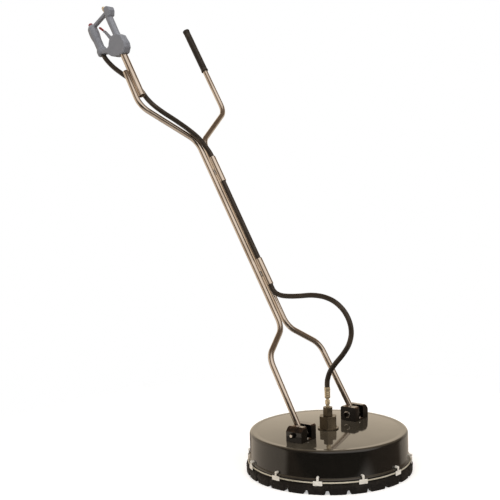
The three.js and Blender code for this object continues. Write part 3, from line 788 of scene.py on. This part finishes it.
lobe_outline = [
    (24, 1478),
    (37, 1464),
    (41, 1430),
    (36, 1414),
    (20, 1401),
    (-4, 1407),
    (-27, 1417),
    (-38, 1427),
    (-48, 1443),
    (-58, 1455),
    (-74, 1461),
    (-74, 1475),
    (-52, 1469),
    (-43, 1464),
    (-33, 1465),
    (-26, 1471),
    (-18, 1481),
    (-4, 1487),
]
cap_outline = [(9, 1553), (11, 1583), (16, 1591), (29, 1590), (39, 1580), (38, 1567), (27, 1551)]
top_bar_outline = [(-70, 1568), (-70, 1580), (14, 1582), (14, 1570)]
barrel_outline = [
    (0, 1464),
    (15, 1464),
    (20, 1468),
    (20, 1482),
    (16, 1492),
    (16, 1522),
    (19, 1542),
    (19.5, 1558),
    (18, 1576),
    (11, 1586),
    (0, 1586),
]


def gun_body():
    """Both shells as one moulded body, with soft fillets where its limbs meet."""
    barrel_seat = Matrix.Translation(Vector((GUN_X, BARREL_Y, 0)) * MM)
    grip_bar = rounded([(0, 1470), (12.9, 1470), (12.3, 1500), (12.9, 1530), (12.5, 1566), (0, 1566)], 6, 4)
    limbs = [
        plate("lobe", rounded(lobe_outline, 6, 4), GUN_X - GUN_HALF, GUN_X + GUN_HALF, 5, 5),
        plate("cap", rounded(cap_outline, 5, 4), GUN_X - GUN_HALF + 1, GUN_X + GUN_HALF - 1, 4.5, 5),
        plate("top_bar", top_bar_outline, GUN_X - 7.5, GUN_X + 7.5, 3, 4),
        about_barrel(barrel_outline, barrel_seat),
        turned("grip_bar", grip_bar, 48, Matrix.Translation(Vector((GUN_X, 12.5, 0)) * MM)),
    ]
    body = bpy.data.objects.new("gun_body", joined("gun_body", limbs))
    bpy.context.scene.collection.objects.link(body)
    remesh = body.modifiers.new("fuse", "REMESH")
    remesh.mode = "VOXEL"
    remesh.voxel_size = 1.1 * MM
    soften = body.modifiers.new("soften", "SMOOTH")
    soften.factor = 0.5
    soften.iterations = 7
    mesh = apply_modifiers(body)
    bpy.data.objects.remove(body)
    return mesh


def shell_of(whole, name, side):
    """The half of the body on one side of the parting plane, moved into the row frame."""
    bm = bmesh.new()
    bm.from_mesh(whole)
    cut = bmesh.ops.bisect_plane(
        bm,
        geom=[*bm.verts, *bm.edges, *bm.faces],
        plane_co=((GUN_X + side * 0.2) * MM, 0, 0),
        plane_no=(-side, 0, 0),
        clear_outer=True,
    )
    rim = [g for g in cut["geom_cut"] if isinstance(g, bmesh.types.BMEdge)]
    bmesh.ops.triangle_fill(bm, use_beauty=True, edges=rim)
    bmesh.ops.transform(bm, matrix=HANDLE, verts=bm.verts)
    mesh = bpy.data.meshes.new(name)
    bm.to_mesh(mesh)
    bm.free()
    return mesh


whole_gun = gun_body()
for name, side in (("outer", 1), ("inner", -1)):
    mesh = shell_of(whole_gun, f"gun_{name}", side)
    piece_of(f"gun_{name}", mesh, GUN_GREY, "handle", [f"gun_shell_{name}"], 50)

stub_seat = HANDLE @ Matrix.Translation((GUN_X * MM, STUB_Y * MM, 0))
stub_outline = rounded([(10.2, STUB_LOW), (STUB_R, STUB_LOW), (STUB_R, STUB_TOP), (10.2, STUB_TOP)], 0.6, 3)
stub_mesh = turned("stub_tube", stub_outline, 48, stub_seat)
piece_of("stub_tube", stub_mesh, TUBE_STEEL, "handle", ["gun_stub_tube"])

inlet_outline = [(2, 1525), (5, 1525), (5, 1587)]
for k in range(4):
    inlet_outline += [(5.0, 1587.4 + k * 1.0), (5.6, 1587.8 + k * 1.0)]
inlet_outline += [(5.0, 1591.4), (6.4, 1592), (6.5, 1601), (5.6, 1602), (2, 1602)]
inlet_seat = HANDLE @ Matrix.Translation((GUN_X * MM, 6 * MM, 0))
piece_of("inlet", turned("inlet", inlet_outline, 40, inlet_seat), BRASS, "handle", ["gun_inlet"])
refined("gun_valve", "handle", BRASS, 0.3)
refined("trigger_pin", "handle", PLATED_STEEL, 0.4)
plug_corners = [(0, 1582), (4.7, 1582), (4.7, 1586.3), (8, 1586.3), (8, 1592), (5, 1595), (0, 1595)]
plug_outline = rounded(plug_corners, 0.8, 3)
plug_seat = HANDLE @ Matrix.Translation(Vector((GUN_X, BARREL_Y, 0)) * MM)
piece_of("plug", turned("plug", plug_outline, 36, plug_seat), RED_PLASTIC, "handle", ["barrel_plug"])

LOCK_Y, LOCK_Z = -32, 1528


def fork(along, across):
    """A point given along and across the trigger, from the lock's pivot."""
    return (LOCK_Y - 0.447 * along + 0.894 * across, LOCK_Z + 0.894 * along + 0.447 * across)


trigger_outline = [
    (4, 1457),
    (15, 1457),
    (17, 1465),
    (11, 1472),
    (-6, 1481),
    (-15, 1494),
    fork(-6, 3.5),
    fork(-6, -3.5),
    (-23, 1488),
    (-14, 1476),
    (2, 1467),
]
ear = [fork(-6.5, 3.5), fork(0, 3.6), fork(4, 2.4), fork(4, -2.4), fork(0, -3.6), fork(-6.5, -3.5)]
trigger = joined(
    "trigger",
    [
        plate("blade", rounded(trigger_outline, 2.5, 3), GUN_X - 5, GUN_X + 5, 1.2, 3, HANDLE),
        plate("ear_outer", rounded(ear, 1.5, 3), GUN_X + 2.6, GUN_X + 5, 0.5, 2, HANDLE),
        plate("ear_inner", rounded(ear, 1.5, 3), GUN_X - 5, GUN_X - 2.6, 0.5, 2, HANDLE),
    ],
)
piece_of("trigger_blade", trigger, GUN_GREY, "trigger", ["gun_trigger"])
neck = [fork(-3.4, 2.0), fork(0, 3.4), fork(9, 2.4), fork(9, -2.4), fork(0, -3.4), fork(-3.4, -2.0)]
paddle = [fork(6.5, 2.6), fork(28, 3), fork(30, 1), fork(30, -2), fork(28, -3.2), fork(6.5, -2.8)]
pivot_place = Matrix.Translation(Vector((GUN_X - 4.6, LOCK_Y, LOCK_Z)) * MM)
pivot_seat = HANDLE @ pivot_place @ Matrix.Rotation(math.pi / 2, 4, "Y")
lock = joined(
    "lock",
    [
        plate("paddle", rounded(paddle, 1.5, 3), GUN_X - 4, GUN_X + 4, 1.0, 3, HANDLE),
        plate("neck", rounded(neck, 1.0, 3), GUN_X - 2.2, GUN_X + 2.2, 0.3, 2, HANDLE),
        turned("lock_pin", [(0, 0), (1.5, 0), (1.5, 9.2), (0, 9.2)], 20, pivot_seat),
    ],
)
piece_of("lock_paddle", lock, RED_PLASTIC, "lock", ["trigger_lock"])


# ---------- studio ----------
def make_floor():
    """A pale round floor that fades out into the background. Gloss mirrors the studio and not the floor."""
    bm = bmesh.new()
    bmesh.ops.create_circle(bm, cap_ends=True, segments=96, radius=2.4)
    mesh = bpy.data.meshes.new("floor")
    bm.to_mesh(mesh)
    bm.free()
    look = Look("floor_paint", Roughness=0.6, Emission_Color=(1, 1, 1, 1), Emission_Strength=0.42)
    look.colour(look.blend(look.noise(3, 5), (0.86, 0.86, 0.855), (0.88, 0.88, 0.875)))
    look.bump(look.noise(60, 4), 0.0003, 0.1)
    distance = look.node("ShaderNodeVectorMath", operation="LENGTH")
    look.feed(distance.inputs[0], look.place())
    look.feed(look.shader.inputs["Alpha"], look.spread(distance.outputs["Value"], 0.5, 1.6, 1.0, 0.0))
    mesh.materials.append(look.material)
    floor = bpy.data.objects.new("floor", mesh)
    bpy.context.scene.collection.objects.link(floor)
    floor.visible_glossy = False


def make_world():
    """White where the camera sees it. What the pieces mirror is dark and warm, with soft bright areas in
    front, behind, at the sides and below."""
    world = bpy.data.worlds.new("studio")
    bpy.context.scene.world = world
    world.use_nodes = True
    tree = world.node_tree
    tree.nodes.clear()
    output = tree.nodes.new("ShaderNodeOutputWorld")
    direction = tree.nodes.new("ShaderNodeTexCoord").outputs["Generated"]
    front = -VIEW_FORWARD.copy()
    front.z = 0
    front.normalize()

    def lobe(axis, low, high):
        dot = tree.nodes.new("ShaderNodeVectorMath")
        dot.operation = "DOT_PRODUCT"
        tree.links.new(direction, dot.inputs[0])
        dot.inputs[1].default_value = axis
        ramp = tree.nodes.new("ShaderNodeMapRange")
        ramp.interpolation_type = "SMOOTHSTEP"
        tree.links.new(dot.outputs["Value"], ramp.inputs["Value"])
        ramp.inputs["From Min"].default_value = low
        ramp.inputs["From Max"].default_value = high
        return ramp.outputs["Result"]

    def colour_of(lobes):
        """The dark surroundings, with each soft bright area laid over them."""
        shade = None
        for amount, colour in lobes:
            layer = tree.nodes.new("ShaderNodeMix")
            layer.data_type = "RGBA"
            tree.links.new(amount, layer.inputs["Factor"])
            if shade:
                tree.links.new(shade, layer.inputs["A"])
            else:
                layer.inputs["A"].default_value = (0.140, 0.102, 0.074, 1)
            layer.inputs["B"].default_value = (*colour, 1)
            shade = layer.outputs["Result"]
        return shade

    def toward(azimuth, elevation):
        """A direction, turned clockwise from the camera's side and raised, in degrees."""
        a, e = math.radians(azimuth), math.radians(elevation)
        level = front * math.cos(a) + VIEW_RIGHT * math.sin(a)
        return level * math.cos(e) + Vector((0, 0, math.sin(e)))

    def spot(azimuth, elevation, inner, outer):
        low, high = math.cos(math.radians(outer)), math.cos(math.radians(inner))
        return lobe(toward(azimuth, elevation), low, high)

    tint = colour_of(
        [
            (spot(24, 33, 32, 54), (0.96, 0.88, 0.80)),
            (spot(0, -42, 48, 60), (0.045, 0.037, 0.030)),
            (spot(-112, -8, 40, 50), (0.74, 0.63, 0.51)),
            (spot(147, -8, 23, 37), (0.50, 0.43, 0.35)),
            (spot(0, -90, 32, 56), (0.60, 0.53, 0.46)),
            (spot(180, 16, 18, 32), (0.92, 0.78, 0.60)),
        ]
    )
    studio = tree.nodes.new("ShaderNodeBackground")
    tree.links.new(tint, studio.inputs["Color"])
    plain = tree.nodes.new("ShaderNodeBackground")
    plain.inputs["Color"].default_value = (1, 1, 1, 1)
    chosen = tree.nodes.new("ShaderNodeMixShader")
    tree.links.new(tree.nodes.new("ShaderNodeLightPath").outputs["Is Camera Ray"], chosen.inputs[0])
    tree.links.new(studio.outputs[0], chosen.inputs[1])
    tree.links.new(plain.outputs[0], chosen.inputs[2])
    tree.links.new(chosen.outputs[0], output.inputs["Surface"])


def soft_light(name, place, aim, width, height, power, colour=(1, 1, 1)):
    data = bpy.data.lights.new(name, "AREA")
    data.shape = "RECTANGLE"
    data.size, data.size_y = width, height
    data.energy = power
    data.color = colour
    light = bpy.data.objects.new(name, data)
    bpy.context.scene.collection.objects.link(light)
    light.location = place
    light.rotation_mode = "QUATERNION"
    light.rotation_quaternion = (Vector(aim) - Vector(place)).to_track_quat("-Z", "Y")
    light.visible_glossy = False


make_floor()
make_world()
centre = Vector((0, -0.25, 0.6))
towards = -VIEW_FORWARD
soft_light("key", centre + towards * 2.2 - VIEW_RIGHT * 1.6 + Vector((0, 0, 2.0)), centre, 1.6, 2.2, 34)
soft_light("fill", centre + towards * 1.5 + VIEW_RIGHT * 2.4 + Vector((0, 0, 0.8)), centre, 1.2, 2.0, 14)
soft_light("top", centre + Vector((0, 0, 3.4)), centre, 3.0, 3.0, 60)

scene = bpy.context.scene
scene.view_settings.view_transform = "Standard"
scene.view_settings.look = "None"
